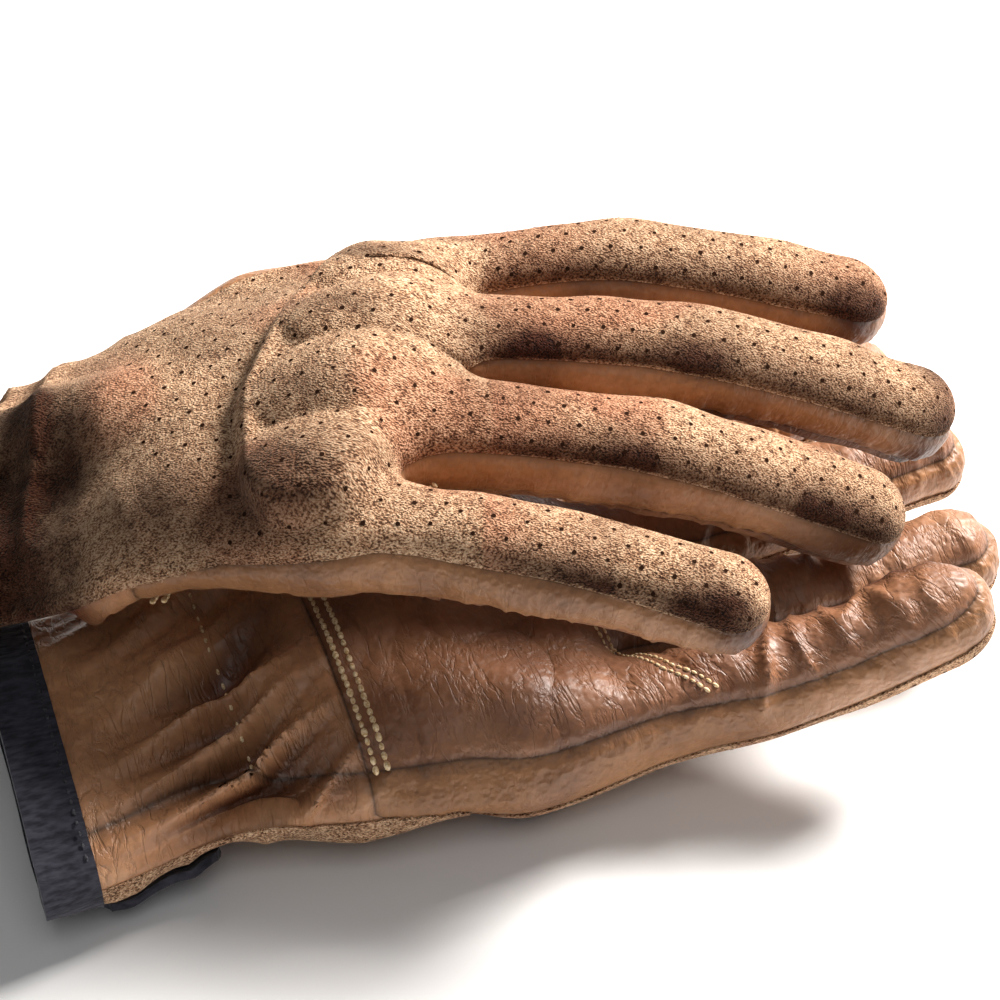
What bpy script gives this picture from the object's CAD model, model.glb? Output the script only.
"""Looks for a pair of short riding gloves: tan suede backs, smooth brown leather palms and bands.

The left glove lies palm up, and the right glove rests on it, back up. Everything is in the frame
of the CAD part, in metres. Shapes are worked out in millimetres in a hand frame: X towards the
fingertips, Y towards the thumb, Z towards the back, origin in the middle of the knuckle line.
"""

import math

import bpy
import numpy as np
from mathutils import Matrix, Vector


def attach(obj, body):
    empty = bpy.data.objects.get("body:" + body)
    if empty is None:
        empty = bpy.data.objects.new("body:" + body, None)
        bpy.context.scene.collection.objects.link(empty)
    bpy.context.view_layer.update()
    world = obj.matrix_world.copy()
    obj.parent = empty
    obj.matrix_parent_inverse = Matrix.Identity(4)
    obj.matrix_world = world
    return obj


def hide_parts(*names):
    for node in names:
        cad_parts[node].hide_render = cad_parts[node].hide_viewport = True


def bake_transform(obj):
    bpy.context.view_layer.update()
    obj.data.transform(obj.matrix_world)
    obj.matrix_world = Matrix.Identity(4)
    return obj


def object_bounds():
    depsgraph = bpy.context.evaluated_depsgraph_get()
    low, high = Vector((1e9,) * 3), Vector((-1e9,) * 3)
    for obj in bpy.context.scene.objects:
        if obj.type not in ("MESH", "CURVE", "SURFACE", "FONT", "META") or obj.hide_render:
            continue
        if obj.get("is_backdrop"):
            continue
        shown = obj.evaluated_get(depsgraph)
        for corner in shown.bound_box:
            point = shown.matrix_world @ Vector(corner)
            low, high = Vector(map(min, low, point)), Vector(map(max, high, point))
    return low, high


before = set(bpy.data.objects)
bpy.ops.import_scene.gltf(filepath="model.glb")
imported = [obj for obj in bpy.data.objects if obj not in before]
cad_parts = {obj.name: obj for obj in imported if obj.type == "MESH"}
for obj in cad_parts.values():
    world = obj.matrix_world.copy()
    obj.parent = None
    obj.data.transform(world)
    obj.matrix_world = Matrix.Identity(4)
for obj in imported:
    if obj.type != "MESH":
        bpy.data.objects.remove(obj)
cad_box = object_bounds()

# ---------------------------------------------------------------------------------------------
# The last: the filled form that a glove is cut for, a flat hand with its fingers spread. A real
# glove is sewn from flat panels and takes this form once worn. The outer surface is one closed
# form, and every panel below is a cut from it, so neighbours share their seam lines.
GRID = 0.9
HAND_PLACES = (-112, -106, -88, -67, -42, -10, 6, 24)
HAND_HALF_WIDTHS = (39.0, 38.5, 36.0, 33.0, 39.5, 44.0, 44.5, 43.5)
HAND_BACKS = (12.5, 12.0, 11.0, 10.5, 12.4, 12.6, 11.4, 8.0)
HAND_PALMS = (13.0, 12.5, 12.5, 11.0, 16.0, 15.2, 14.0, 9.0)
HAND_SECTION = 2.4
FINGERS = {
    "index": {"knuckle": (2.0, 34.0), "length": 101.0, "radius": 10.2, "spread": 8.5, "web": 17.0},
    "middle": {"knuckle": (5.0, 12.0), "length": 112.0, "radius": 10.5, "spread": 2.2, "web": 17.0},
    "ring": {"knuckle": (0.0, -10.5), "length": 104.0, "radius": 10.4, "spread": -3.4, "web": 17.0},
    "little": {"knuckle": (-11.0, -31.5), "length": 83.0, "radius": 9.7, "spread": -11.5, "web": 13.0},
}
PLUMP_LITTLE = {"knuckle": (-11.0, -32.5), "length": 83.0, "radius": 11.6, "spread": -12.5, "web": 20.0}
THUMB = {"root": (-60.0, 24.5), "length": 84.0, "radius": 11.3, "spread": 36.0}
FINGER_FLATNESS = 0.96
FINGER_BLEND = 5.0
THUMB_BLEND = 12.0
BASE_SHARE = 1.10
THUMB_BASE_SHARE = 1.25
MIDDLE_SHARE = 0.985
TIP_SHARE = 0.93
JOINT_SWELL = 0.018
WEB_FILLET = 9.0
THIN_SLOPE = 0.012
MOUTH = -101.0


def eased(value, low, high):
    """0 below low, 1 above high, smooth between."""
    share = np.clip((value - low) / (high - low), 0.0, 1.0)
    return share * share * (3.0 - 2.0 * share)


def rounded_between(x, places, sizes, reach=7.0):
    """Sizes along the hand, with the corners of the straight pieces rounded off."""
    steps = np.linspace(-reach, reach, 7)
    return sum(np.interp(x + step, places, sizes) for step in steps) / len(steps)


def unit(vectors):
    return vectors / np.maximum(np.linalg.norm(vectors, axis=1), 1e-18)[:, None]


def joined(first, second, reach):
    """Two forms as one, with a fillet about as wide as reach."""
    share = np.clip(0.5 + 0.5 * (second - first) / reach, 0.0, 1.0)
    return second * (1.0 - share) + first * share - reach * share * (1.0 - share)


def finger_axes(points, finger):
    """Distance along and across a straight finger from its knuckle."""
    root = finger.get("knuckle") or finger["root"]
    turn = math.radians(finger["spread"])
    x = points[:, 0] - root[0]
    y = points[:, 1] - root[1]
    return x * math.cos(turn) + y * math.sin(turn), y * math.cos(turn) - x * math.sin(turn)


def finger_tube(points, finger, base_share):
    """A finger: a tube that narrows to its round tip, a little fuller between its joints."""
    along, across = finger_axes(points, finger)
    end = finger["length"] - finger["radius"] * TIP_SHARE
    held = np.clip(along, 0.0, end)
    share = held / end
    shares = (base_share, 1.0, MIDDLE_SHARE, TIP_SHARE)
    radius = finger["radius"] * np.interp(share, (0.0, 0.3, 0.75, 1.0), shares)
    radius = radius * (1.0 + JOINT_SWELL * np.cos((share - 0.52) * 4.0 * math.pi))
    up = points[:, 2] / FINGER_FLATNESS
    return np.sqrt(across**2 + up**2 + (along - held) ** 2) - radius


class Last:
    """One glove's form, as numbers that are below zero inside it."""

    def __init__(self, side):
        self.side = side
        self.fingers = dict(FINGERS)
        if side == "left":
            self.fingers["little"] = PLUMP_LITTLE

    def web_front(self, y):
        names = ("little", "ring", "middle", "index")
        across = [self.fingers[name]["knuckle"][1] for name in names]
        along = [self.fingers[name]["knuckle"][0] + self.fingers[name]["web"] for name in names]
        return rounded_between(y, across, along, 5.0)

    def hand(self, points):
        x, y, z = points.T
        wide = rounded_between(x, HAND_PLACES, HAND_HALF_WIDTHS)
        backs = rounded_between(x, HAND_PLACES, HAND_BACKS)
        palms = rounded_between(x, HAND_PLACES, HAND_PALMS)
        tall = palms + (backs - palms) * eased(z, -4.0, 4.0)
        across = np.abs(y) / wide
        up = np.abs(z) / tall
        reach = np.maximum(across**HAND_SECTION + up**HAND_SECTION, 1e-3) ** (1.0 / HAND_SECTION)
        power = HAND_SECTION - 1.0
        slope = reach**-power * np.hypot(across**power / wide, up**power / tall)
        tube = (reach - 1.0) / np.maximum(slope, THIN_SLOPE)
        front = x - self.web_front(y) + 2.0
        return -joined(-tube, -front, WEB_FILLET)

    def hand_and_fingers(self, points):
        tubes = [finger_tube(points, finger, BASE_SHARE) for finger in self.fingers.values()]
        return joined(self.hand(points), np.min(tubes, axis=0), FINGER_BLEND)

    def form(self, points):
        thumb = finger_tube(points, THUMB, THUMB_BASE_SHARE)
        return joined(self.hand_and_fingers(points), thumb, THUMB_BLEND)

    def onto(self, points, rounds=2):
        """Points near the surface, moved onto it."""
        for _ in range(rounds):
            slope = slope_of(self.form, points)
            size = np.maximum((slope**2).sum(1), 0.1)
            move = slope * (self.form(points) / size)[:, None]
            far = np.maximum(np.linalg.norm(move, axis=1), 1e-9)
            points = points - move * np.minimum(1.0, 2.0 / far)[:, None]
        return points


def slope_of(form, points, step=0.05):
    found = np.empty_like(points)
    for axis in range(3):
        shift = np.zeros(3)
        shift[axis] = step
        found[:, axis] = (form(points + shift) - form(points - shift)) / (2.0 * step)
    return found


def net_over(form, low, high, step):
    """A mesh of four-sided faces over the zero surface of a form, one vertex to a grid cell."""
    axes = [np.arange(low[axis], high[axis] + step, step) for axis in range(3)]
    values = np.empty([len(axis) for axis in axes], np.float32)
    flat = np.stack(np.meshgrid(axes[1], axes[2], indexing="ij"), -1).reshape(-1, 2)
    for index in range(0, len(axes[0]), 16):
        part = axes[0][index : index + 16]
        points = np.hstack([np.repeat(part, len(flat))[:, None], np.tile(flat, (len(part), 1))])
        values[index : index + 16] = form(points).reshape(len(part), len(axes[1]), len(axes[2]))
    cells = np.array(values.shape) - 1
    total = np.zeros((int(cells.prod()), 3))
    count = np.zeros(int(cells.prod()))
    faces = []
    for axis in range(3):
        nearer = values.take(range(values.shape[axis] - 1), axis)
        further = values.take(range(1, values.shape[axis]), axis)
        crossed = (nearer < 0) != (further < 0)
        places = np.argwhere(crossed)
        share = nearer[crossed] / (nearer[crossed] - further[crossed])
        crossing = places.astype(float)
        crossing[:, axis] += share
        second, third = [(axis + 1) % 3, (axis + 2) % 3]
        corners = []
        inner = np.ones(len(places), bool)
        for one, other in ((-1, -1), (0, -1), (0, 0), (-1, 0)):
            cell = places.copy()
            cell[:, second] += one
            cell[:, third] += other
            inner &= ((cell >= 0) & (cell < cells)).all(1)
            corners.append(cell)
        numbers = [np.ravel_multi_index(cell[inner].T, cells) for cell in corners]
        for number in numbers:
            count += np.bincount(number, minlength=len(count))
            for part in range(3):
                total[:, part] += np.bincount(number, crossing[inner, part], len(count))
        quads = np.stack(numbers, axis=1)
        outwards = nearer[crossed][inner] < 0
        quads[~outwards] = quads[~outwards][:, ::-1]
        faces.append(quads)
    faces = np.concatenate(faces)
    used, faces = np.unique(faces, return_inverse=True)
    points = np.array(low) + step * total[used] / count[used][:, None]
    return points, faces.reshape(-1, 4)


def neighbours_mean(points, edges):
    count = np.bincount(edges.ravel(), minlength=len(points))
    total = np.empty_like(points)
    for axis in range(3):
        there = np.bincount(edges[:, 0], points[edges[:, 1], axis], len(points))
        back = np.bincount(edges[:, 1], points[edges[:, 0], axis], len(points))
        total[:, axis] = there + back
    return total / np.maximum(count, 1)[:, None]


def edges_of(faces):
    ends = np.concatenate([faces[:, [i, (i + 1) % faces.shape[1]]] for i in range(faces.shape[1])])
    return np.unique(np.sort(ends, axis=1), axis=0)


# ---------------------------------------------------------------------------------------------
# The cut: where one panel ends and the next begins, as numbers that change sign at each seam.
# Vertices next to a seam are moved onto it, so that panels meet in a clean sewn line.
BAND_LOW_FINGER = -5.2
BAND_LOW_HAND = -8.5
HEEL_LINE = -42.0
BINDING_LINE = -91.0
FINGER_CUT = 21.5
THUMB_CUT = 54.0
TAB_PLACE = (-80.0, -20.5)
TAB_HALF = (11.0, 12.0)
TAB_CORNER = 4.0
SUEDE_EDGES = {"right": (3.0, 5.2, 3.4), "left": (6.5, 5.5, 3.0)}
THUMB_ROOT = 16.0
OUTER_SLANT = 17.0
INDEX_SLANT = 8.0
LATE_CUT = 8.0
LITTLE_LATE_CUT = 4.0
LAYER_ACROSS = (-50.0, -39.0, -19.0, 0.0, 40.0)
LAYER_EDGE = (21.5, 15.5, 11.0, 7.0, 4.0)


class Cut:
    """The seam lines of one glove."""

    def __init__(self, last):
        self.last = last

    def nearest(self, points):
        """Which finger a point belongs to, and its distance along and across that finger."""
        axes = [finger_axes(points, finger) for finger in self.last.fingers.values()]
        which = np.abs([across for _, across in axes]).argmin(0)
        pick = np.arange(len(points))
        along = np.array([along for along, _ in axes])[which, pick]
        across = np.array([across for _, across in axes])[which, pick]
        return which, along, across

    def thumb(self, points):
        """Below zero on the thumb and its root, above zero on the rest of the hand."""
        along, _ = finger_axes(points, THUMB)
        root = THUMB_ROOT * eased(-along, -24.0, -10.0)
        tube = finger_tube(points, THUMB, THUMB_BASE_SHARE)
        return tube - self.last.hand_and_fingers(points) + root

    def suede(self, points):
        """The edge of the suede, lower at the fingertips than along the hand."""
        _, along, _ = self.nearest(points)
        hand, finger, tip = SUEDE_EDGES[self.last.side]
        edge = np.interp(along, (-10.0, 15.0, 45.0, 75.0), (hand, finger, finger, tip))
        return points[:, 2] - edge

    def palm(self, points):
        share = eased(points[:, 0], -40.0, 40.0)
        return points[:, 2] - BAND_LOW_HAND - (BAND_LOW_FINGER - BAND_LOW_HAND) * share

    def heel(self, points):
        """The seam across the heel: straight on the palm, slanting to the outer edge on the back."""
        x, y, z = points.T
        slant = OUTER_SLANT * eased(-y, 12.0, 42.0) - INDEX_SLANT * eased(y, -20.0, 20.0)
        return x - HEEL_LINE - slant * eased(z, -1.0, 3.0)

    def binding(self, points):
        return points[:, 0] - BINDING_LINE

    def mouth(self, points):
        return points[:, 0] - MOUTH

    def finger(self, points):
        which, along, _ = self.nearest(points)
        return np.where(points[:, 0] > 0.0, along - self.finger_cuts()[which], -1.0)

    def finger_cuts(self):
        """Where each finger's own panels start: past the web on both sides of the finger."""
        extra = LATE_CUT if self.last.side == "left" else 0.0
        return FINGER_CUT + np.array([0.0, 0.0, extra, LITTLE_LATE_CUT + extra])

    def thumb_ring(self, points):
        along, _ = finger_axes(points, THUMB)
        return np.where(self.thumb(points) < 3.0, along - THUMB_CUT, -1.0)

    def side(self, points):
        return np.where((points[:, 0] < -18.0) | (points[:, 1] > 48.0), points[:, 2], 50.0)

    def patch(self, points):
        """The far edge of the palm's second layer."""
        x, y, z = points.T
        edge = np.interp(y, LAYER_ACROSS, LAYER_EDGE)
        return np.where(z < 0.0, edge - x, -50.0)

    def tab(self, points):
        """Below zero inside the rounded outline of the closing tab on the back of the wrist."""
        x, y, z = points.T
        out_x = np.abs(x - TAB_PLACE[0]) - TAB_HALF[0] + TAB_CORNER
        out_y = np.abs(y - TAB_PLACE[1]) - TAB_HALF[1] + TAB_CORNER
        outside = np.hypot(np.maximum(out_x, 0.0), np.maximum(out_y, 0.0))
        inside = np.minimum(np.maximum(out_x, out_y), 0.0)
        return np.where(z > 0.0, outside + inside - TAB_CORNER, 50.0)


def settled_on(line, last, points, edges):
    """Moves the nearer end of every edge that crosses a line onto it; returns points and values."""
    values = line(points)
    first, second = values[edges[:, 0]], values[edges[:, 1]]
    crosses = (first * second < 0) & (np.abs(first - second) < 4.0 * GRID)
    nearer = np.where(np.abs(first) < np.abs(second), edges[:, 0], edges[:, 1])[crosses]
    nearer = np.unique(nearer)
    moved = points[nearer]
    for _ in range(3):
        normal = unit(slope_of(last.form, moved))
        slope = slope_of(line, moved)
        slope -= (slope * normal).sum(1)[:, None] * normal
        size = np.maximum((slope**2).sum(1), 0.05)
        move = slope * (line(moved) / size)[:, None]
        far = np.maximum(np.linalg.norm(move, axis=1), 1e-9)
        moved = last.onto(moved - move * np.minimum(1.0, GRID / far)[:, None], 1)
    points = points.copy()
    points[nearer] = moved
    values = line(points)
    values[nearer] = 0.0
    return points, values


def split_quads(quads, values):
    """Triangles whose edges never cross a seam: the diagonal joins the two corners on it."""
    other_way = np.zeros(len(quads), bool)
    for value in values:
        corner = value[quads]
        other_way |= corner[:, 0] * corner[:, 2] < 0
    first = np.where(other_way[:, None], quads[:, [1, 2, 3]], quads[:, [0, 1, 2]])
    second = np.where(other_way[:, None], quads[:, [1, 3, 0]], quads[:, [0, 2, 3]])
    return np.concatenate([first, second])


LASTS = {}
for side in ("left", "right"):
    last = Last(side)
    cut = Cut(last)
    points, quads = net_over(last.form, (-112.0, -66.0, -22.0), (122.0, 92.0, 20.0), GRID)
    edges = edges_of(quads)
    for _ in range(3):
        points = last.onto(points * 0.5 + neighbours_mean(points, edges) * 0.5)
    values = {}
    lines = (
        cut.mouth, cut.binding, cut.tab, cut.heel, cut.thumb, cut.side,
        cut.patch, cut.suede, cut.palm, cut.finger, cut.thumb_ring,
    )
    for line in lines:
        points, values[line.__name__] = settled_on(line, last, points, edges)
    faces = split_quads(quads, list(values.values()))
    normals = unit(slope_of(last.form, points))
    where = {name: value[faces].sum(1) > 0 for name, value in values.items()}
    middle = points[faces].mean(1)
    regions = {
        "binding": where["mouth"] & ~where["binding"],
        "cuff": where["binding"] & ~where["heel"],
        "hand": where["heel"] & where["thumb"] & ~where["finger"],
        "finger": where["heel"] & where["thumb"] & where["finger"],
        "thumb_root": where["heel"] & ~where["thumb"] & ~where["thumb_ring"],
        "thumb_tip": where["heel"] & ~where["thumb"] & where["thumb_ring"],
        "suede": where["suede"],
        "palm": ~where["palm"],
        "band": ~where["suede"] & where["palm"],
        "upper": where["side"],
        "patch": where["patch"],
        "tab": ~where["tab"],
        "which": cut.nearest(middle)[0],
        "middle": middle,
    }
    LASTS[side] = {
        "last": last, "cut": cut, "points": points, "faces": faces, "normals": normals,
        "values": values, "regions": regions,
    }
finger_names = list(FINGERS)

# ---------------------------------------------------------------------------------------------
# Relief: what stands up or sinks in the surface. The back is moulded over a four-hump knuckle
# guard, the wrist is gathered on an elastic, seams pull in, and leather folds where it bends.
HUMP_HEIGHT = 3.3
HUMP_HALF_LENGTH = 16.5
HUMP_HALF_WIDTH = 10.8
HUMP_PLACES = ((4.0, 27.0), (2.0, 8.5), (-2.5, -9.5), (-7.0, -28.0))
HUMP_SHARES = (1.55, 1.2, 1.05, 0.95)
HUMP_SLANT = 0.25
PLATEAU_HEIGHT = 3.4
GUARD_ACROSS = (-42.0, -38.0, -28.0, -12.0, 9.0, 24.0, 40.0)
GUARD_REAR = (-14.0, -17.0, -20.5, -22.0, -16.0, -11.0, -9.0)
GUARD_FRONT = (-4.0, -1.0, 3.0, 8.0, 14.0, 16.0, 17.0)
GUARD_ENDS = (-39.0, 37.0)
GUARD_RIDGE = 0.8
ELASTIC_LINE = -61.0
ELASTIC_DIP = 2.4
PLEATS = 9.5
SMALL_PLEATS = 2.2
WRIST_FOLDS = 3.4
WRIST_TUCKS = 2.4
SLACK_SUEDE = 2.5
BACK_WAVES = 0.5
FINGER_WAVES = 0.30
PALM_WAVES = 0.9
PALM_CREASES = 0.7
JOINT_FOLDS = {"left": (1.5, 9.0), "right": (0.5, 7.0)}
BAND_PUCKERS = {"left": 0.45, "right": 0.25}
WAVE_SEEDS = {"left": 40, "right": 0}
SUEDE_GROOVE = (0.5, 1.2)
PALM_GROOVE = (0.9, 1.3)
HEEL_GROOVE = (0.4, 1.4)
THUMB_GROOVE = (0.5, 1.5)


def bell(values, middle, width):
    return np.exp(-(((values - middle) / width) ** 2))


def waves(points, length, seed, count=7, flatten=(1.0, 1.0, 1.0)):
    """Smooth irregular waves of about the given length, between about -1 and 1."""
    chance = np.random.default_rng(seed)
    total = 0.0
    for _ in range(count):
        way = chance.normal(size=3)
        way /= np.linalg.norm(way)
        way *= 2.0 * math.pi / (length * chance.uniform(0.75, 1.35))
        way *= flatten
        total = total + np.sin(points @ way + chance.uniform(0.0, 2.0 * math.pi))
    return total / math.sqrt(count * 0.5) / 1.6


def folds(points, length, seed, sharp=2.0, flatten=(1.0, 1.0, 1.0)):
    """Sharp-crested folds: 1 on a crest, 0 between."""
    return np.clip(1.0 - np.abs(waves(points, length, seed, 6, flatten)), 0.0, 1.0) ** sharp


def guard_edge(points):
    """Below zero inside the guard's outline on the back of the hand."""
    x, y, _ = points.T
    rear = np.interp(y, GUARD_ACROSS, GUARD_REAR)
    front = np.interp(y, GUARD_ACROSS, GUARD_FRONT)
    ends = np.maximum(GUARD_ENDS[0] - y, y - GUARD_ENDS[1])
    return -joined(joined(x - rear, front - x, 6.0), -ends, 8.0)


def guard_relief(points):
    x, y, _ = points.T
    domes = []
    for (place_x, place_y), full in zip(HUMP_PLACES, HUMP_SHARES):
        along = x - place_x
        across = y - place_y - HUMP_SLANT * along
        far = (along / HUMP_HALF_LENGTH) ** 2 + (across / HUMP_HALF_WIDTH) ** 2
        domes.append(full * np.clip(1.0 - far, 0.0, None) ** 0.75)
    crown = np.max(domes, axis=0)
    edge = guard_edge(points)
    soft = 1.7 + 3.2 * eased(x, -4.0, 6.0)
    plateau = PLATEAU_HEIGHT * eased(-edge / soft, -0.8, 1.6)
    ridge = GUARD_RIDGE * bell(edge, -2.0, 1.7) * eased(-x, -4.0, 8.0)
    return plateau + HUMP_HEIGHT * crown * eased(-edge / soft, -1.0, 2.6) + ridge


def gathers(points, seed):
    """Pleats fanning out from the elastic across the palm side of the wrist."""
    x, y, z = points.T
    run = x - ELASTIC_LINE
    spread = np.exp(-((run / np.where(run > 0.0, 13.0, 17.0)) ** 2))
    fan = np.stack([x * 0.10, y - 0.35 * run + 0.006 * y * np.abs(run), z * 0.8], 1)
    pleats = folds(fan, 18.0, 14 + seed, 1.2)
    small = folds(fan * np.array([1.0, 1.7, 1.0]), 14.0, 24 + seed, 1.6)
    return spread, pleats, small


def relief_of(last, cut, points, normals):
    """How far the surface stands out along its normal, in millimetres."""
    x, y, z = points.T
    _, along, across = cut.nearest(points)
    seed = WAVE_SEEDS[last.side]
    up = eased(normals[:, 2], 0.0, 0.75)
    down = eased(-normals[:, 2], -0.1, 0.5)
    hand = eased(-x, -22.0, -6.0)
    rise = guard_relief(points) * up * eased(z, 2.0, 7.0)
    soft = folds(points, 30.0, 11 + seed, 1.6, (1.3, 0.7, 0.6))
    rise += WRIST_FOLDS * (soft - 0.45) * bell(x, -70.0, 20.0) * up
    tucks = folds(np.stack([x * 0.4, y + 0.3 * x, z * 0.5], 1), 17.0, 21 + seed, 1.6)
    rise += WRIST_TUCKS * (tucks - 0.45) * bell(x, -78.0, 15.0) * up
    slack = waves(points * np.array([0.45, 1.0, 1.0]) + 0.2 * points[:, [1, 0, 2]], 24.0, 12 + seed)
    rise += SLACK_SUEDE * slack * eased(-x, 20.0, 40.0) * up
    rise += BACK_WAVES * waves(points, 30.0, 13 + seed) * hand
    rise -= ELASTIC_DIP * bell(x, ELASTIC_LINE, 5.0) * down
    spread, pleats, small = gathers(points, seed)
    rise += (PLEATS * (pleats - 0.6) + SMALL_PLEATS * (small - 0.4)) * spread * down
    finger = eased(along, 16.0, 30.0) * (x > 0)
    low = eased(-z, -4.0, 4.0)
    rows = np.stack([along, across * 0.2, z * 0.2], 1)
    joints = bell(along, 40.0, 9.0) + bell(along, 64.0, 8.0)
    deep, length = JOINT_FOLDS[last.side]
    rise += deep * (folds(rows, length, 15 + seed) - 0.4) * finger * low * (0.35 + joints)
    band = eased(3.0 - np.abs(z + 1.0) / 2.0, 0.0, 1.5)
    puckers = folds(np.stack([along * 1.0, across * 0.1, z * 0.45], 1), 4.6, 25 + seed, 1.5)
    rise += BAND_PUCKERS[last.side] * (puckers - 0.4) * band * eased(along, -20.0, 10.0)
    rise += FINGER_WAVES * waves(points, 16.0, 16 + seed) * finger
    palm = down * hand * eased(x, -45.0, -36.0)
    rise += PALM_WAVES * waves(points, 26.0, 17 + seed, 7, (1.0, 1.0, 0.5)) * palm
    creases = folds(points, 21.0, 18 + seed, 7.0, (1.2, 0.8, 0.5))
    return rise - PALM_CREASES * creases * palm


def seam_relief(values, depth, width):
    return -depth * bell(values, 0.0, width)


# ---------------------------------------------------------------------------------------------
# How each glove lies: the right one back up on the left one, its empty wrist sunk and narrowed
# under its own weight, and the left one palm up, flattened where its back meets the table.
LIES = {
    "right": {
        "place": (-26.0, 11.8, 61.2),
        "turn": (-0.8, -7.8, 6.0),
        "palm_up": False,
        "fingers": {
            "index": (3.6, 12.6, 12.4, 1.0),
            "middle": (3.0, 16.4, 15.7, 1.0),
            "ring": (0.5, 17.6, 16.2, 1.0),
            "little": (-10.6, 9.6, 9.1, 1.0),
        },
        "thumb": (3.0, 30.0, 18.0),
    },
    "left": {
        "place": (1.5, -0.3, 15.6),
        "turn": (20.1, 0.0, 0.0),
        "palm_up": True,
        "fingers": {
            "index": (3.0, 2.0, 8.0, 0.97),
            "middle": (1.0, 0.0, 6.0, 0.88),
            "ring": (-4.2, -1.0, 10.0, 0.91),
            "little": (-7.4, 7.0, 17.0, 1.09),
        },
        "thumb": (1.0, 30.0, 0.0),
    },
}
WRIST_DROP = 6.5
WRIST_SHIFT = 5.0
WRIST_NARROWING = 0.24
FAR_SIDE_DROP = 8.5
FAR_WRIST_DROP = 8.0
NEAR_WRIST_DROP = 7.0
PRESSED_CUFF = 0.12
TABLE_SOFTNESS = 1.6
LITTLE_SIDE_SHIFT = 4.5
LITTLE_SIDE_RISE = 1.5
BEND_STEPS = 240
PALM_RISE_SHARE = 0.5


def bent(along, across, up, root, lie, length):
    """A place on a straight finger, moved to where the bent one is."""
    splay, base_bend, tip_bend, full = lie
    share = (np.arange(BEND_STEPS) + 0.5) / BEND_STEPS
    turn = base_bend * np.minimum(share / 0.2, 1.0)
    turn = np.radians(turn + tip_bend * np.clip((share - 0.4) / 0.35, 0.0, 1.0))
    piece = length * full / BEND_STEPS
    ends = np.linspace(0.0, length, BEND_STEPS + 1)
    forward = np.concatenate([[0.0], np.cumsum(np.cos(turn))]) * piece
    height = -np.concatenate([[0.0], np.cumsum(np.sin(turn))]) * piece
    angle = np.interp(along, share * length, turn, left=0.0)
    centre = np.where(along < 0, along, np.interp(along, ends, forward))
    centre = centre + np.maximum(along - length, 0.0) + up * np.sin(angle)
    z = np.interp(along, ends, height) + up * np.cos(angle)
    yaw = math.radians(splay)
    x = root[0] + centre * math.cos(yaw) - across * math.sin(yaw)
    y = root[1] + centre * math.sin(yaw) + across * math.cos(yaw)
    return np.stack([x, y, z], 1)


def sunk(points):
    """The upper glove's far side and its empty wrist settle onto the glove below."""
    x, y, z = points.T
    wrist = eased(-x, 25.0, 85.0)
    far = eased(y, 0.0, 40.0)
    fall = (FAR_SIDE_DROP * eased(-x, -48.0, 0.0) + FAR_WRIST_DROP * eased(-x, 15.0, 70.0)) * far
    fall += NEAR_WRIST_DROP * eased(-x, 38.0, 66.0) * eased(-y, -6.0, 30.0)
    narrow = np.where(y > 0.0, y * (1.0 - WRIST_NARROWING * wrist), y)
    return np.stack([x, narrow - WRIST_SHIFT * wrist, z - fall - WRIST_DROP * wrist], 1)


def laid(points, side):
    """From the flat hand to where this glove lies, in the part's frame in metres."""
    lie = LIES[side]
    fingers = LASTS[side]["last"].fingers
    axes = {name: finger_axes(points, finger) for name, finger in fingers.items()}
    sideways = np.array([np.abs(axes[name][1]) for name in fingers])
    run = np.max([axes[name][0] for name in fingers], axis=0)
    softness = 0.6 + 4.5 * (1.0 - eased(run, 0.0, 18.0))
    share = np.exp(-(sideways - sideways.min(0)) / softness)
    share /= share.sum(0)
    thumb_along, thumb_across = finger_axes(points, THUMB)
    x, y, z = points.T
    heading = np.degrees(np.arctan2(y - THUMB["root"][1], np.maximum(x - THUMB["root"][0], 1e-3)))
    thumb_share = eased(heading, 19.0, 27.0) * eased(thumb_along, 4.0, 34.0) * eased(y, 24.0, 34.0)
    total = np.zeros_like(points)
    held = 1.0 - thumb_share
    hand_share = held.copy()
    for index, (name, finger) in enumerate(fingers.items()):
        along, across = axes[name]
        weight = share[index] * eased(along, -8.0, 14.0) * held
        moved = bent(along, across, z, finger["knuckle"], lie["fingers"][name], finger["length"])
        total += moved * weight[:, None]
        hand_share -= weight
    height, splay, droop = lie["thumb"]
    moved = bent(thumb_along, thumb_across, z, THUMB["root"], (splay, 0.0, 0.0, 1.0), THUMB["length"])
    moved[:, 2] += height - np.maximum(thumb_along, 0.0) * math.tan(math.radians(droop))
    total += moved * thumb_share[:, None] + points * hand_share[:, None]
    if lie["palm_up"]:
        total = total * np.array([1.0, 1.0, -1.0])
    else:
        total = sunk(total)
    yaw, pitch, roll = (math.radians(angle) for angle in lie["turn"])
    turn = Matrix.Rotation(pitch, 3, "Y") @ Matrix.Rotation(roll, 3, "X")
    turn = Matrix.Rotation(yaw, 3, "Z") @ turn
    placed = total @ np.array(turn).T + np.array(lie["place"])
    if lie["palm_up"]:
        lifted = 0.5 * (placed[:, 2] + np.sqrt(placed[:, 2] ** 2 + TABLE_SOFTNESS))
        placed[:, 2] = np.where(placed[:, 2] < 12.0, lifted, placed[:, 2])
        placed[:, 2] *= 1.0 - PRESSED_CUFF * eased(-placed[:, 0], 40.0, 75.0)
        little_side = eased(placed[:, 0], -15.0, 40.0) * eased(-placed[:, 1], 10.0, 45.0)
        placed[:, 1] += LITTLE_SIDE_SHIFT * little_side
        placed[:, 2] += LITTLE_SIDE_RISE * little_side * eased(placed[:, 2], 0.0, 12.0)
    return placed * 0.001


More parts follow.
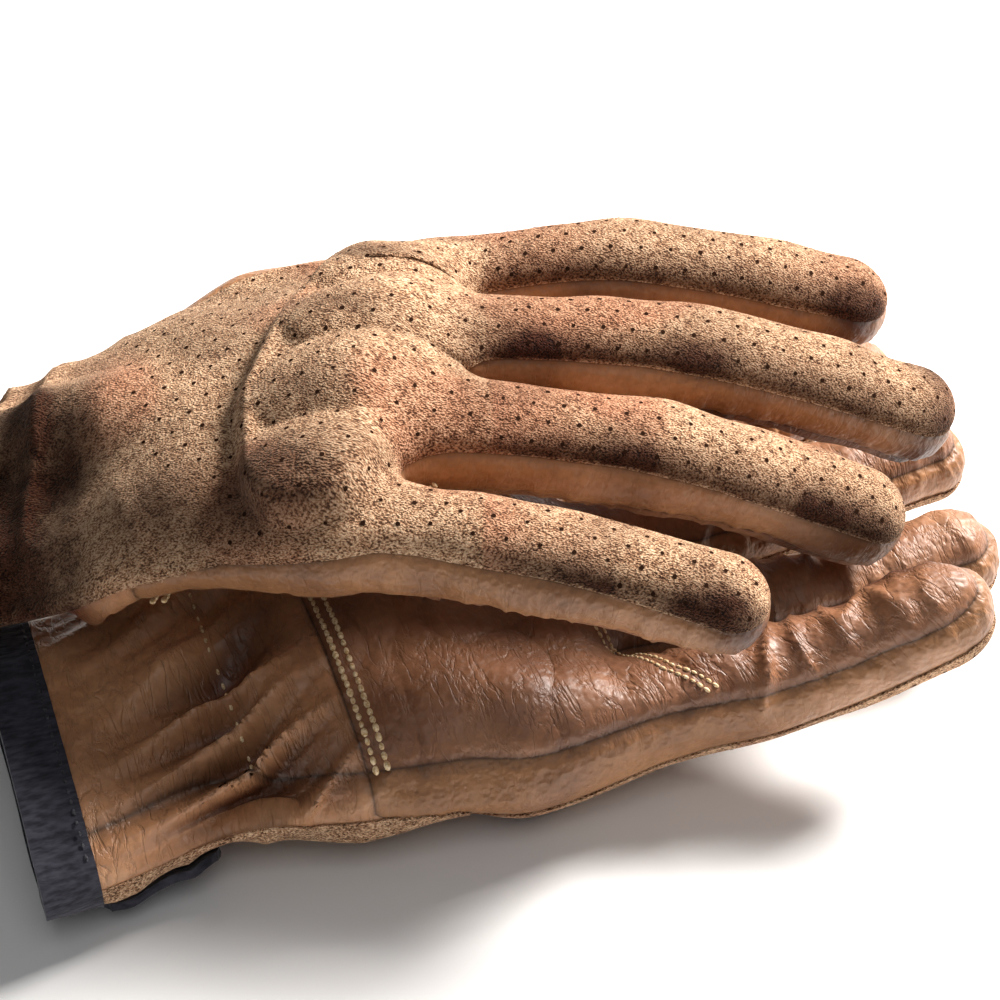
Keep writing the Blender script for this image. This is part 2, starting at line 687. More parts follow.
def normals_of(points, faces):
    corners = points[faces]
    face = np.cross(corners[:, 1] - corners[:, 0], corners[:, 2] - corners[:, 0])
    total = np.empty_like(points)
    for axis in range(3):
        total[:, axis] = np.bincount(faces.ravel(), np.repeat(face[:, axis], 3), len(points))
    return unit(total)


GLOVES = {}
for side, own in LASTS.items():
    values = own["values"]
    ahead = own["points"][:, 0] > HEEL_LINE
    seams = seam_relief(values["suede"], *SUEDE_GROOVE) * ahead
    seams += seam_relief(values["palm"], *PALM_GROOVE)
    seams += seam_relief(values["heel"], *HEEL_GROOVE) * (own["normals"][:, 2] < 0.3)
    seams += seam_relief(values["thumb"], *THUMB_GROOVE) * ahead
    rise = relief_of(own["last"], own["cut"], own["points"], own["normals"]) + seams
    if side == "left":
        rise = np.where(own["normals"][:, 2] > 0, rise * PALM_RISE_SHARE, rise)
    placed = laid(own["points"] + own["normals"] * rise[:, None], side)
    faces = own["faces"] if side == "right" else own["faces"][:, ::-1]
    GLOVES[side] = {"points": placed, "faces": faces, "normals": normals_of(placed, faces)}

# ---------------------------------------------------------------------------------------------
# Panels: every panel is a sheet of hide about 1.2 mm thick, cut along its seams. Suede laps over
# leather and stands a little proud of it. A panel's corner normals are those of the whole glove,
# so that it runs on smoothly where a moving finger's panel meets the hand's.
HIDE = 0.0012
BLEND_START = 1.0
BLEND_END = 13.0
RUBBED_SPOTS = (
    (1.3, -11.0, -33.0, 9.0, 6.5),
    (0.6, -8.0, -14.0, 9.0, 4.0),
    (0.55, -4.0, 6.0, 9.0, 4.0),
    (0.5, 0.0, 27.0, 9.0, 5.0),
    (0.9, -36.0, -30.0, 12.0, 9.0),
)


def marks_of(side):
    """Marks kept with each point: dark rubbing, a redder tone, and how far off a seam is."""
    own = LASTS[side]
    points = own["points"]
    seams = own["values"]
    which, along, across = own["cut"].nearest(points)
    length = np.array([finger["length"] for finger in own["last"].fingers.values()])[which]
    ahead = points[:, 0] > 20.0
    dark = 0.0
    for strength, x, y, wide, tall in RUBBED_SPOTS:
        dark = dark + strength * bell(points[:, 0], x, wide) * bell(points[:, 1], y, tall)
    dark += eased(along, length * 0.72, length * 0.97) * ahead * (0.5 + 0.5 * waves(points, 22.0, 31))
    dark += 0.30 * eased(waves(points, 34.0, 32), 0.1, 0.9)
    if side == "right":
        near = eased(-points[:, 0], 42.0, 62.0) * eased(-points[:, 1], -14.0, 8.0)
        dark = np.maximum(dark, 1.6 * near)
        outer = eased(-across, 1.0, 9.0) * eased(points[:, 0], 12.0, 30.0)
        dark += 0.8 * outer * (seams["suede"] > 0.0)
    else:
        inner = (which == 3) * eased(across, 2.0, 9.0) * eased(along, 45.0, 60.0)
        dark = 0.25 * dark + 1.1 * inner
        spread, pleats, _ = gathers(points, WAVE_SEEDS[side])
        dark += 0.9 * spread * eased(0.55 - pleats, -0.1, 0.35) * (points[:, 2] < -4.0)
    flush = 0.8 * eased(waves(points, 30.0, 33), 0.1, 0.9)
    flush += 0.9 * bell(along, 27.0, 13.0) * ahead
    near = np.min([np.abs(seams[name]) for name in ("suede", "palm", "heel")], axis=0)
    near = np.minimum(near, np.abs(seams["thumb"]) + 0.5)
    marks = {"burnish": dark, "flush": flush, "seam": near / 3.0}
    return {label: np.clip(values, 0.0, 1.0) for label, values in marks.items()}


MARKS = {side: marks_of(side) for side in LASTS}


def boundary_of(faces):
    """Directed edges that only one face uses."""
    ends = np.concatenate([faces[:, [0, 1]], faces[:, [1, 2]], faces[:, [2, 0]]])
    code = ends[:, 0].astype(np.int64) * (1 << 32) + ends[:, 1]
    back = ends[:, 1].astype(np.int64) * (1 << 32) + ends[:, 0]
    return ends[~np.isin(code, back)]


def store_vectors(data, label, vectors):
    stored = data.attributes.new(label, "FLOAT_VECTOR", "POINT")
    stored.data.foreach_set("vector", vectors.astype(np.float32).ravel())


def in_scene(name, data):
    made = bpy.data.objects.new(name, data)
    bpy.context.scene.collection.objects.link(made)
    return made


def panel(name, side, chosen, paint, lift=0.0, thick=HIDE, rise=None):
    """A closed sheet over the chosen faces of a glove, from lift above its surface inwards."""
    glove = GLOVES[side]
    own = LASTS[side]
    faces = glove["faces"][chosen]
    used, local = np.unique(faces, return_inverse=True)
    local = local.reshape(-1, 3)
    count = len(used)
    normals = glove["normals"][used]
    outer = glove["points"][used] + normals * (lift if rise is None else lift + rise[used][:, None])
    inner = outer - normals * thick
    if side == "left":
        outer[:, 2] = np.maximum(outer[:, 2], 0.0)
        inner[:, 2] = np.maximum(inner[:, 2], 0.0001)
    rim = boundary_of(local)
    walls = np.concatenate([
        np.stack([rim[:, 1], rim[:, 0], rim[:, 0] + count], 1),
        np.stack([rim[:, 1], rim[:, 0] + count, rim[:, 1] + count], 1),
    ])
    every = np.concatenate([local, local[:, ::-1] + count, walls])
    points = np.concatenate([outer, inner])
    data = bpy.data.meshes.new(name)
    data.from_pydata(points.tolist(), [], every.tolist())
    corners = points[walls]
    flat = unit(np.cross(corners[:, 1] - corners[:, 0], corners[:, 2] - corners[:, 0]))
    outwards = normals[local].reshape(-1, 3)
    inwards = -normals[local[:, ::-1]].reshape(-1, 3)
    data.shade_smooth()
    rims = np.repeat(flat, 3, axis=0)
    data.normals_split_custom_set(np.concatenate([outwards, inwards, rims]).tolist())
    place = np.concatenate([own["points"][used], own["points"][used] - own["normals"][used]])
    store_vectors(data, "cut_place", place * 0.001)
    for label, values in MARKS[side].items():
        stored = data.attributes.new(label, "FLOAT", "POINT")
        both = np.concatenate([values[used], values[used]])
        stored.data.foreach_set("value", both.astype(np.float32))
    data.materials.append(paint)
    return in_scene(name, data)


def along_finger(side, name, distance):
    """A point on a finger's axis at a distance from its knuckle, in the part's frame."""
    finger = LASTS[side]["last"].fingers.get(name, THUMB)
    root = finger.get("knuckle") or finger["root"]
    turn = math.radians(finger["spread"])
    place = [root[0] + distance * math.cos(turn), root[1] + distance * math.sin(turn), 0.0]
    return laid(np.array([place]), side)[0]


def hinged(piece, side, name):
    """The base of a finger bends with the hand and the rest with the finger."""
    cuts = dict(zip(finger_names, LASTS[side]["cut"].finger_cuts()), thumb=THUMB_CUT)
    start = along_finger(side, name, cuts[name] + BLEND_START)
    end = along_finger(side, name, cuts[name] + BLEND_END)
    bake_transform(piece)


def rests(piece, side, nodes):
    """A piece fixed to the hand, in the place of CAD nodes of that glove."""
    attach(piece, f"{side}_hand")
    if nodes:
        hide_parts(*[f"{side}_{node}" for node in nodes])


def on_finger(piece, side, name, node):
    """A piece of a finger or thumb, in the place of one of its CAD nodes."""
    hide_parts(f"{side}_{name}_{node}")
    hinged(piece, side, name)


def finger_panels(side, region, label, node, paint, lift=0.0):
    """The same panel on each of the four fingers."""
    part = LASTS[side]["regions"]
    for index, name in enumerate(finger_names):
        chosen = part["finger"] & part[region] & (part["which"] == index)
        strip = panel(f"{side}_{name}_{label}", side, chosen, paint, lift)
        on_finger(strip, side, name, node)


# ---------------------------------------------------------------------------------------------
# Materials share a few node helpers. A noise's scale is in grains to the metre, and a colour is
# an sRGB hex code. Patterns follow cut_place, the place on the flat glove before it was laid.
def linear(code):
    """An sRGB hex colour as linear numbers."""
    parts = [int(code[index : index + 2], 16) / 255.0 for index in (1, 3, 5)]
    parts = [part / 12.92 if part <= 0.04045 else ((part + 0.055) / 1.055) ** 2.4 for part in parts]
    return (*parts, 1.0)


def add_node(tree, kind, settings=None, inputs=None):
    """Adds a node with its settings; an input takes a link from a socket, or a value."""
    node = tree.nodes.new(kind)
    for name, value in (settings or {}).items():
        setattr(node, name, value)
    for key, value in (inputs or {}).items():
        if isinstance(value, bpy.types.NodeSocket):
            tree.links.new(value, node.inputs[key])
        else:
            node.inputs[key].default_value = value
    return node


def new_material(name):
    made = bpy.data.materials.new(name)
    made.use_nodes = True
    made.node_tree.nodes.clear()
    return made, made.node_tree


def attribute(tree, name, output="Fac"):
    return add_node(tree, "ShaderNodeAttribute", {"attribute_name": name}).outputs[output]


def noise(tree, place, scale, detail, rough, distortion=0.0):
    inputs = {"Scale": scale, "Detail": detail, "Roughness": rough, "Distortion": distortion}
    return add_node(tree, "ShaderNodeTexNoise", {}, inputs | {"Vector": place}).outputs["Fac"]


def stretched(tree, place, scale, turn=0.0):
    inputs = {"Rotation": (0.0, 0.0, turn), "Scale": scale, "Vector": place}
    return add_node(tree, "ShaderNodeMapping", {}, inputs).outputs["Vector"]


def ramp(tree, factor, stops):
    """Colours, or greys given as numbers, that follow a factor."""
    node = add_node(tree, "ShaderNodeValToRGB", {}, {"Fac": factor})
    elements = node.color_ramp.elements
    while len(elements) > 1:
        elements.remove(elements[-1])
    for index, (place, tone) in enumerate(stops):
        element = elements[0] if index == 0 else elements.new(place)
        element.position = place
        element.color = linear(tone) if isinstance(tone, str) else (tone, tone, tone, 1.0)
    return node.outputs["Color"]


def multiplied(tree, base, by, factor=1.0):
    """A colour multiplied by another as far as the factor says."""
    settings = {"data_type": "RGBA", "blend_type": "MULTIPLY"}
    return add_node(tree, "ShaderNodeMix", settings, {0: factor, 6: base, 7: by}).outputs[2]


def maths(tree, operation, *terms, clamp=False):
    settings = {"operation": operation, "use_clamp": clamp}
    return add_node(tree, "ShaderNodeMath", settings, dict(enumerate(terms))).outputs["Value"]


def surfaced(tree, inputs, height=None, strength=0.0, depth=0.0):
    """Ends a material: a shader with its inputs, and a bump from a height."""
    if height is not None:
        bump = {"Strength": strength, "Distance": depth, "Height": height}
        inputs = inputs | {"Normal": add_node(tree, "ShaderNodeBump", {}, bump).outputs["Normal"]}
    shader = add_node(tree, "ShaderNodeBsdfPrincipled", {}, inputs)
    add_node(tree, "ShaderNodeOutputMaterial", {}, {"Surface": shader.outputs["BSDF"]})


# ---------------------------------------------------------------------------------------------
# Suede: split cowhide, buffed to a short nap and sprayed tan, the back of each glove and of its
# fingers. The nap lies in tufts of 0.7 to 1.5 mm that catch the light, rubbing has burnished it
# dark over the knuckles and fingertips, and the colour wanders between sand and a dusty red.
def suede_material(name, light, middle, dark, red):
    made, tree = new_material(name)
    place = attribute(tree, "cut_place", "Vector")
    nap = noise(tree, stretched(tree, place, (1.0, 1.6, 1.3), 0.7), 2300.0, 1.5, 0.55, 0.1)
    clump = noise(tree, place, 520.0, 2.0, 0.6)
    blotch = noise(tree, place, 60.0, 5.0, 0.6)
    tufts = maths(tree, "MULTIPLY_ADD", clump, 0.45, nap)
    tone = ramp(tree, tufts, [(0.56, dark), (0.70, middle), (0.86, light)])
    shaded = multiplied(tree, tone, ramp(tree, blotch, [(0.30, 0.78), (0.65, 1.0)]))
    patchy = maths(tree, "MULTIPLY", attribute(tree, "flush"), blotch, clamp=True)
    reddened = multiplied(tree, shaded, linear(red), patchy)
    rubbed = maths(tree, "MULTIPLY", attribute(tree, "burnish"), blotch, clamp=True)
    strong = maths(tree, "MULTIPLY", rubbed, 1.9, clamp=True)
    inputs = {
        "Base Color": multiplied(tree, reddened, linear("#5c4640"), strong),
        "Roughness": 0.95,
        "Specular IOR Level": 0.12,
        "Sheen Weight": 0.12,
        "Sheen Roughness": 0.4,
        "Sheen Tint": linear("#f3dcc0"),
    }
    surfaced(tree, inputs, tufts, 1.0, 0.0010)
    return made


SUEDE = suede_material("split suede, sprayed tan", "#edc8a4", "#b98c69", "#5d3e2e", "#d09a8e")
SUEDE_PROUD = 0.0004
for side, own in LASTS.items():
    part = own["regions"]
    back = panel(f"{side}_back", side, part["hand"] & part["suede"], SUEDE, SUEDE_PROUD)
    rests(back, side, ["back_panel"])
    wrist = panel(f"{side}_cuff_suede", side, part["cuff"] & part["upper"], SUEDE, SUEDE_PROUD)
    rests(wrist, side, ["cuff_back"])
    finger_panels(side, "suede", "suede", "back", SUEDE, SUEDE_PROUD)

# ---------------------------------------------------------------------------------------------
# Perforations: small round holes punched through the suede in staggered rows for air. Each shows
# as a dark disc 0.8 mm across. Rows run along each finger, and along the hand on its back.
HOLE_PITCH = 5.6
HOLE_ROW = 3.9
HOLE_SIZES = {"Hole radius": 0.00040}
HOLE_CLEAR = 1.6
HOLE_PROUD = 0.00007
HOLE_FACING = 0.25


def crossed(first, second):
    return first[:, 0] * second[:, 1] - second[:, 0] * first[:, 1]


def lattice_points(side, chosen, index):
    """Where the punched rows meet the chosen faces: places and outward directions."""
    own = LASTS[side]
    glove = GLOVES[side]
    faces = own["faces"][chosen]
    points = own["points"]
    if index is None:
        u, v = points[:, 0], points[:, 1]
    else:
        finger = own["last"].fingers[finger_names[index]]
        u, across = finger_axes(points, finger)
        v = finger["radius"] * np.arctan2(across, np.maximum(points[:, 2], 0.1))
    spots = np.stack([u, v], 1)[faces]
    middle = spots.mean(1)
    row = np.round(middle[:, 1] / HOLE_ROW)
    shift = np.mod(row, 2) * HOLE_PITCH / 2
    along = np.round((middle[:, 0] - shift) / HOLE_PITCH) * HOLE_PITCH + shift
    hole = np.stack([along, row * HOLE_ROW], 1)
    first = spots[:, 0]
    second, third, hole = spots[:, 1] - first, spots[:, 2] - first, hole - first
    area = crossed(second, third)
    area = np.where(np.abs(area) < 1e-9, 1e-9, area)
    b, c = crossed(hole, third) / area, crossed(second, hole) / area
    seams = own["values"]
    clear = np.minimum(np.abs(seams["suede"]), np.abs(seams["heel"]))[faces].min(1) > HOLE_CLEAR
    clear &= own["normals"][faces].mean(1)[:, 2] > HOLE_FACING
    hit = (b >= 0) & (c >= 0) & (b + c <= 1) & clear
    shares = np.stack([1 - b - c, b, c], 1)[hit][:, :, None]
    place = (glove["points"][faces[hit]] * shares).sum(1)
    return place, unit((glove["normals"][faces[hit]] * shares).sum(1))


def repeat_tree(name, inputs, shape, paint):
    """A node tree that sets a small shape on each point, turned to its out and run directions."""
    tree = bpy.data.node_groups.new(name, "GeometryNodeTree")
    tree.interface.new_socket(name="Geometry", in_out="INPUT", socket_type="NodeSocketGeometry")
    for label, value in inputs.items():
        socket = tree.interface.new_socket(name=label, in_out="INPUT", socket_type="NodeSocketFloat")
        socket.default_value = value
    tree.interface.new_socket(name="Geometry", in_out="OUTPUT", socket_type="NodeSocketGeometry")
    given = add_node(tree, "NodeGroupInput")
    named = {"data_type": "FLOAT_VECTOR"}
    out = add_node(tree, "GeometryNodeInputNamedAttribute", named, {"Name": "out"})
    run = add_node(tree, "GeometryNodeInputNamedAttribute", named, {"Name": "run"})
    inputs = {"Vector": run.outputs["Attribute"]}
    ahead = add_node(tree, "FunctionNodeAlignRotationToVector", {"axis": "X"}, inputs)
    inputs = {"Rotation": ahead.outputs["Rotation"], "Vector": out.outputs["Attribute"]}
    settings = {"axis": "Z", "pivot_axis": "X"}
    upright = add_node(tree, "FunctionNodeAlignRotationToVector", settings, inputs)
    inputs = {"Min": 0.85, "Max": 1.15, "Seed": 7}
    size = add_node(tree, "FunctionNodeRandomValue", {"data_type": "FLOAT"}, inputs)
    inputs = {
        "Points": given.outputs["Geometry"],
        "Instance": shape(tree, given),
        "Rotation": upright.outputs["Rotation"],
        "Scale": size.outputs["Value"],
    }
    spread = add_node(tree, "GeometryNodeInstanceOnPoints", {}, inputs)
    inputs = {"Geometry": spread.outputs["Instances"]}
    real = add_node(tree, "GeometryNodeRealizeInstances", {}, inputs)
    inputs = {"Material": paint, "Geometry": real.outputs["Geometry"]}
    painted = add_node(tree, "GeometryNodeSetMaterial", {}, inputs)
    add_node(tree, "NodeGroupOutput", {}, {"Geometry": painted.outputs["Geometry"]})
    return tree


def repeated(name, tree, places, outs, runs, sizes):
    """Runs a repeat tree over points and keeps the result as a plain mesh."""
    data = bpy.data.meshes.new(f"{name}_points")
    data.from_pydata(places.tolist(), [], [])
    store_vectors(data, "out", outs)
    store_vectors(data, "run", runs)
    seed = in_scene(f"{name}_points", data)
    modifier = seed.modifiers.new("repeat", "NODES")
    modifier.node_group = tree
    for item in tree.interface.items_tree:
        if item.item_type == "SOCKET" and item.in_out == "INPUT" and item.name in sizes:
            modifier[item.identifier] = sizes[item.name]
    graph = bpy.context.evaluated_depsgraph_get()
    mesh = bpy.data.meshes.new_from_object(seed.evaluated_get(graph))
    mesh.name = name
    bpy.data.objects.remove(seed, do_unlink=True)
    return in_scene(name, mesh)


def hole_shape(tree, given):
    """A flat disc facing outwards."""
    inputs = {"Vertices": 10, "Radius": given.outputs["Hole radius"]}
    disc = add_node(tree, "GeometryNodeMeshCircle", {"fill_type": "NGON"}, inputs)
    return disc.outputs["Mesh"]


SHADOW, shadow_tree = new_material("shadowed hole in suede")
inputs = {"Base Color": linear("#2a1a12"), "Roughness": 1.0, "Specular IOR Level": 0.0}
surfaced(shadow_tree, inputs)
HOLES = repeat_tree("perforations", HOLE_SIZES, hole_shape, SHADOW)
for side, own in LASTS.items():
    part = own["regions"]
    for index, name in enumerate([*finger_names, "back"]):
        on_hand = name == "back"
        chosen = part["hand"] if on_hand else part["finger"] & (part["which"] == index)
        place, out = lattice_points(side, chosen & part["suede"], None if on_hand else index)
        run = np.cross(out, np.array([0.0, 1.0, 0.0]))
        proud = place + out * (SUEDE_PROUD + HOLE_PROUD)
        holes = repeated(f"{side}_{name}_perforations", HOLES, proud, out, run, HOLE_SIZES)
        if on_hand:
            rests(holes, side, [])
        else:
            hinged(holes, side, name)

# ---------------------------------------------------------------------------------------------
# Band leather: full-grain leather, smooth and lightly waxed, in one strip round each finger and
# along the hand's outer edge, turned under the suede. It is yellower and glossier than the palm.
def leather_material(name, light, middle, dark, rough, grain, crease, shine):
    made, tree = new_material(name)
    place = attribute(tree, "cut_place", "Vector")
    drift = noise(tree, place, 34.0, 5.0, 0.6)
    fine = noise(tree, place, 700.0, 3.0, 0.6)
    inputs = {"Scale": grain, "Vector": place}
    pebble = add_node(tree, "ShaderNodeTexVoronoi", {"feature": "SMOOTH_F1"}, inputs)
    warp = noise(tree, stretched(tree, place, (2.4, 0.8, 0.8), 0.35), 150.0, 4.0, 0.55, 0.4)
    tone = ramp(tree, drift, [(0.32, dark), (0.5, middle), (0.7, light)])
    specked = multiplied(tree, tone, ramp(tree, fine, [(0.35, 0.84), (0.6, 1.0)]))
    edge = ramp(tree, attribute(tree, "seam"), [(0.0, 0.28), (0.12, 0.75), (0.35, 1.0)])
    edged = multiplied(tree, specked, edge)
    lines = ramp(tree, warp, [(0.44, 1.0), (0.5, 0.0), (0.56, 1.0)])
    pebbled = maths(tree, "MULTIPLY", pebble.outputs["Distance"], 0.5)
    creased = maths(tree, "MULTIPLY_ADD", lines, crease, pebbled)
    height = maths(tree, "MULTIPLY_ADD", fine, 0.25, creased)
    inputs = {"Value": drift, "To Min": rough - 0.06, "To Max": rough + 0.12}
    gloss = add_node(tree, "ShaderNodeMapRange", {}, inputs)
    inputs = {
        "Base Color": multiplied(tree, edged, linear("#7a5c4c"), attribute(tree, "burnish")),
        "Roughness": gloss.outputs["Result"],
        "Specular IOR Level": shine,
        "Coat Weight": 0.05,
        "Coat Roughness": 0.35,
    }
    surfaced(tree, inputs, height, 0.7, 0.0008)
    return made


BAND = leather_material(
    "smooth leather, waxed", "#b88a64", "#a0714b", "#7f573b", 0.42, 900.0, 0.12, 0.4
)
for side, own in LASTS.items():
    part = own["regions"]
    chosen = (part["hand"] & part["band"]) | (part["thumb_root"] & part["upper"])
    strip = panel(f"{side}_side_leather", side, chosen, BAND)
    rests(strip, side, ["outer_strip", "index_strip"])
    finger_panels(side, "band", "side_band", "band", BAND)
    thumb = panel(f"{side}_thumb_top", side, part["thumb_tip"] & part["upper"], BAND)
    on_finger(thumb, side, "thumb", "back")

# ---------------------------------------------------------------------------------------------
# Palm leather: goat leather, thin and fine-grained, creased by use. The same leather makes the
# palms of the fingers and thumb, and a second layer over the hand's palm with a raised edge.
PALM = leather_material(
    "fine goat leather", "#a87a59", "#8f6143", "#6f4832", 0.44, 700.0, 0.22, 0.45
)
PATCH_PROUD = 0.0009
for side, own in LASTS.items():
    part = own["regions"]
    seams = own["values"]
    chosen = (part["hand"] & part["palm"]) | (part["thumb_root"] & ~part["upper"])
    palm = panel(f"{side}_palm", side, chosen, PALM)
    rests(palm, side, ["palm_panel"])
    fade = eased(-seams["palm"], 0.3, 3.0) * eased(seams["heel"], -0.5, 2.5)
    rise = PATCH_PROUD * (fade * eased(seams["thumb"], 0.5, 4.0))
    chosen = part["hand"] & part["palm"] & part["patch"]
    patch = panel(f"{side}_palm_layer", side, chosen, PALM, 0.00008, 0.0009, rise)
    rests(patch, side, ["palm_patch"])
    finger_panels(side, "palm", "palm_strip", "palm", PALM)
    thumb = panel(f"{side}_thumb_under", side, part["thumb_tip"] & ~part["upper"], PALM)
    on_finger(thumb, side, "thumb", "palm")

# ---------------------------------------------------------------------------------------------
# Cuff: shrunken-grain leather on the palm side, gathered on a sewn-in elastic, with a black
# fleece lining and a black woven tape folded over the raw edge.
CUFF = leather_material(
    "shrunken-grain leather", "#d9a87e", "#bd8860", "#966848", 0.40, 520.0, 0.35, 0.55
)
LINING_FRONT = BINDING_LINE + 9.0
LINING_REAR = MOUTH + 3.0
ELASTIC_HALF = (3.0, 11.0)


def cloth_material(name, light, dark, rough, rib):
    made, tree = new_material(name)
    place = stretched(tree, attribute(tree, "cut_place", "Vector"), rib)
    weave = noise(tree, place, 1000.0, 2.0, 0.5)
    inputs = {
        "Base Color": ramp(tree, weave, [(0.35, dark), (0.65, light)]),
        "Roughness": rough,
        "Specular IOR Level": 0.2,
        "Sheen Weight": 0.1,
        "Sheen Roughness": 0.5,
    }
    surfaced(tree, inputs, weave, 0.6, 0.0006)
    return made


TAPE = cloth_material("black polyester tape", "#3e3e48", "#24242c", 0.85, (0.35, 1.0, 1.0))
FLEECE = cloth_material("black fleece", "#1c1c20", "#08080a", 0.95, (0.5, 0.5, 0.5))
RUBBER = cloth_material("ribbed elastic", "#2a2a2c", "#101012", 0.8, (0.3, 1.5, 1.5))
for side, own in LASTS.items():
    part = own["regions"]
    cuff = panel(f"{side}_cuff_leather", side, part["cuff"] & ~part["upper"], CUFF)
    rests(cuff, side, ["cuff_palm"])
    tape = panel(f"{side}_cuff_tape", side, part["binding"], TAPE, 0.0007, 0.0030)
    rests(tape, side, ["cuff_binding"])
    x, y, z = part["middle"].T
    chosen = (part["binding"] | part["cuff"]) & (x > LINING_REAR) & (x < LINING_FRONT)
    lining = panel(f"{side}_cuff_lining", side, chosen, FLEECE, -0.0014, 0.0005)
    rests(lining, side, [])
    ring = (np.abs(x - ELASTIC_LINE) < ELASTIC_HALF[0]) & (np.abs(y) < ELASTIC_HALF[1])
    ring &= part["cuff"] & ~part["upper"] & (z < -8.0)
    elastic = panel(f"{side}_gathering_elastic", side, ring, RUBBER, -0.0013, 0.0006)
    rests(elastic, side, ["wrist_elastic"])

# ---------------------------------------------------------------------------------------------
# Closing tab: a black hook-and-loop tab over its patch of loops on the back of the wrist. The
# upper glove's tab turns with its joint, and the lower one lies pressed under the glove.
HOOK = cloth_material("black hook-and-loop tape", "#26262a", "#0a0a0c", 0.9, (0.6, 0.6, 0.6))
for side, own in LASTS.items():
    part = own["regions"]
    loops = part["tab"] & (own["values"]["tab"][own["faces"]].mean(1) < -2.5)
    patch = panel(f"{side}_loops", side, loops, HOOK, 0.0012, 0.0007)
    rests(patch, side, ["loop_patch"])
    tab = panel(f"{side}_closing_tab", side, part["tab"], TAPE, 0.0030, 0.0015)
    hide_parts(f"{side}_wrist_tab")
    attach(tab, "right_tab" if side == "right" else "left_hand")

# ---------------------------------------------------------------------------------------------
# Knuckle guard: a moulded shell over a thin foam pad, sewn in under the suede, which takes its
# shape. Both stop short of the outline, where the suede turns down too sharply to cover them.
SHELL = cloth_material("moulded polypropylene", "#1d1d20", "#141416", 0.45, (0.2, 0.2, 0.2))
for side, own in LASTS.items():
    part = own["regions"]
    place = part["middle"]
    chosen = part["hand"] & part["suede"] & (guard_edge(place) < -5.0)
    chosen &= (place[:, 1] < 15.0) & (place[:, 2] > 4.0)
    shell = panel(f"{side}_knuckle_shell", side, chosen, SHELL, -0.0016, 0.0010)
    rests(shell, side, ["guard_shell"])
    foam = panel(f"{side}_knuckle_foam", side, chosen, FLEECE, -0.0028, 0.0014)
    rests(foam, side, ["guard_foam"])

# ---------------------------------------------------------------------------------------------
# Stitches: bonded polyester thread in lockstitch. Beige double rows hold the overlapped heel
# seam and the palm layer's edge, a beige row holds the elastic, and a black row the edge tape.
def thread_shape(tree, given):
    """A stitch: a rounded bar lying along its run."""
    ball = add_node(tree, "GeometryNodeMeshIcoSphere", {}, {"Radius": 1.0, "Subdivisions": 2})
    long, thin = given.outputs["Half length"], given.outputs["Radius"]
    size = add_node(tree, "ShaderNodeCombineXYZ", {}, {"X": long, "Y": thin, "Z": thin})
    inputs = {"Geometry": ball.outputs["Mesh"], "Scale": size.outputs["Vector"]}
    return add_node(tree, "GeometryNodeTransform", {}, inputs).outputs["Geometry"]


def thread_material(name, light, dark):
    made, tree = new_material(name)
    place = add_node(tree, "ShaderNodeTexCoord").outputs["Object"]
    tone = ramp(tree, noise(tree, place, 2200.0, 1.0, 0.5), [(0.35, dark), (0.65, light)])
    surfaced(tree, {"Base Color": tone, "Roughness": 0.6, "Specular IOR Level": 0.3})
    return made


def on_palm(last, x, y):
    """Points of the palm surface below places in the flat hand."""
    high = np.full(len(x), 0.0)
    low = np.full(len(x), -24.0)
    for _ in range(24):
        middle = (high + low) / 2
        inside = last.form(np.stack([x, y, middle], 1)) < 0
        high, low = np.where(inside, middle, high), np.where(inside, low, middle)
    return np.stack([x, y, high], 1)


def stitch_row(side, x, y, spacing, lift):
    """Even stitches along a line over the palm: their places, outward directions and runs."""
    own = LASTS[side]
    fine = on_palm(own["last"], x, y)
    length = np.concatenate([[0.0], np.cumsum(np.linalg.norm(np.diff(fine, axis=0), axis=1))])
    ends = np.arange(spacing / 2, length[-1], spacing)
    points = np.stack([np.interp(ends, length, fine[:, axis]) for axis in range(3)], 1)
    points = on_palm(own["last"], points[:, 0], points[:, 1])
    normals = unit(slope_of(own["last"].form, points))
    rise = relief_of(own["last"], own["cut"], points, normals)
    rise += seam_relief(own["cut"].heel(points), *HEEL_GROOVE)
    placed = laid(points + normals * (rise[:, None] + lift), side)
    tips = laid(points + normals * (rise[:, None] + lift + 0.5), side)
    return placed, unit(tips - placed), unit(np.gradient(placed, axis=0))


BEIGE = thread_material("beige bonded thread", "#f0dab4", "#bd9a68")
BLACK = thread_material("black bonded thread", "#4a4a52", "#1e1e22")
THREAD_SIZES = {"Half length": 0.00085, "Radius": 0.00055}
SMALL_SIZES = {"Half length": 0.00065, "Radius": 0.00033}
THREADS = repeat_tree("beige stitches", THREAD_SIZES, thread_shape, BEIGE)
DARK_THREADS = repeat_tree("black stitches", SMALL_SIZES, thread_shape, BLACK)
HEEL_STEP = 1.75
LAYER_STEP = 1.5
SPARSE_STEP = 2.2


def row_across(side, x, y, spacing, lift):
    """A stitch row at one distance along the hand."""
    return stitch_row(side, np.full(len(y), x), y, spacing, lift)


def sewn(name, side, tree, rows, sizes):
    """One piece from several stitch rows."""
    places, outs, runs = (np.concatenate(part) for part in zip(*rows))
    rests(repeated(f"{side}_{name}", tree, places, outs, runs, sizes), side, [])


